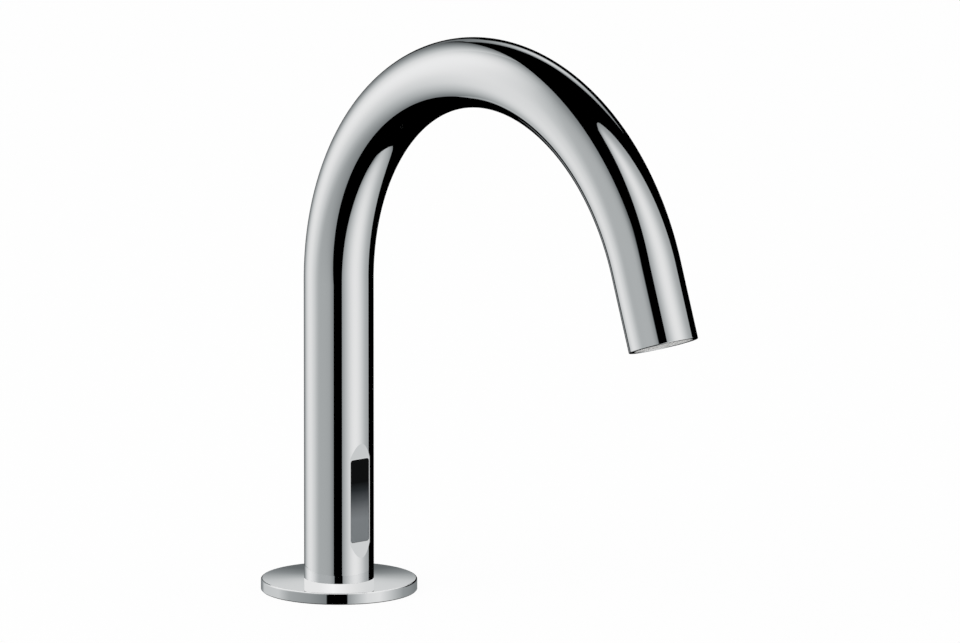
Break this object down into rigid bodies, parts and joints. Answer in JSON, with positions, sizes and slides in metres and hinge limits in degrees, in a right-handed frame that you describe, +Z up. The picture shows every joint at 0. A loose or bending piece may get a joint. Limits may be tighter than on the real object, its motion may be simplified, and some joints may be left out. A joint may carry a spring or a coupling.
{
  "type": "sensor tap",
  "caption": "Deck-mounted sensor tap: a round tube bends in one high arc from a disc on the deck, with a dark sensor window low on the column and a threaded shank.",
  "frame": {"origin": "centre of the column on the deck's surface, under the disc", "axes": "+Z up along the column, +X forward, the way the spout reaches and the sensor window faces, +Y to the left of the spout"},
  "size_m": [0.2088, 0.0538, 0.2629],
  "materials": {
    "polished_chrome": "mirror-polished chrome plate",
    "turned_brass": "turned brass",
    "stainless": "stainless steel",
    "black_rubber": "matte black rubber",
    "black_moulding": "fine-grained black moulding",
    "grey_moulding": "fine-grained grey moulding",
    "dark_pane": "glossy near-black pane",
    "circuit_green": "solder-masked board",
    "clear_lens": "clear moulded lens",
    "dark_lens": "dark moulded lens",
    "white_moulding": "white moulding",
    "green_moulding": "pale green moulding",
    "ivory_moulding": "ivory moulding",
    "hose_plastic": "milky translucent hose",
    "lead_jacket": "smooth black jacket"
  },
  "bodies": {
    "tap_body": {"spout_tube": "polished_chrome", "deck_disc": "polished_chrome", "mounting_shank": "turned_brass", "tail_plug": "turned_brass", "outlet_insert": "turned_brass", "tail_circlip": "stainless", "lower_ferrule": "stainless", "upper_ferrule": "stainless", "leaf_spring": "stainless", "carrier_screws": "stainless", "base_gasket": "black_rubber", "foot_o_ring": "black_rubber", "lead_grommet": "black_rubber", "lead_boot": "black_rubber", "window_gasket": "black_rubber", "insert_o_ring": "black_rubber", "sensor_housing": "black_moulding", "board_chips": "black_moulding", "sensor_carrier": "grey_moulding", "sensor_window": "dark_pane", "sensor_board": "circuit_green", "ir_emitter": "clear_lens", "status_lamp": "clear_lens", "ir_receiver": "dark_lens", "water_hose": "hose_plastic", "sensor_lead": "lead_jacket"},
    "clamp_washers": {"soft_washer": "black_rubber", "steel_washer": "stainless"},
    "back_nut": {"back_nut": "turned_brass"},
    "aerator_washer": {"aerator_seal": "black_rubber"},
    "aerator": {"aerator_housing": "white_moulding", "outlet_grid": "white_moulding", "mesh_screens": "stainless", "jet_plate": "ivory_moulding", "flow_regulator": "green_moulding", "regulator_ring": "black_rubber", "inlet_strainer": "green_moulding"}
  },
  "joints": [
    {"name": "clamp_travel", "type": "slide", "parent": "tap_body", "child": "clamp_washers", "axis": [0, 0, 1], "range_m": [-0.02101, 0.01651]},
    {"name": "back_nut_turn", "type": "hinge", "parent": "clamp_washers", "child": "back_nut", "pos_m": [0, 0, -0.029], "axis": [0, 0, 1], "range_deg": [-5040, 3960]},
    {"name": "aerator_travel", "type": "slide", "parent": "tap_body", "child": "aerator_washer", "axis": [0.3371, 0, -0.9415], "range_m": [0, 0.00401]},
    {"name": "aerator_turn", "type": "hinge", "parent": "aerator_washer", "child": "aerator", "pos_m": [0.1707, 0, 0.11114], "axis": [0.3371, 0, -0.9415], "range_deg": [0, 1440]}
  ],
  "couplings": [
    {"joint": "clamp_travel", "follows": "back_nut_turn", "m_per_rad": 0.00023873},
    {"joint": "aerator_travel", "follows": "aerator_turn", "m_per_rad": 0.00015915}
  ]
}
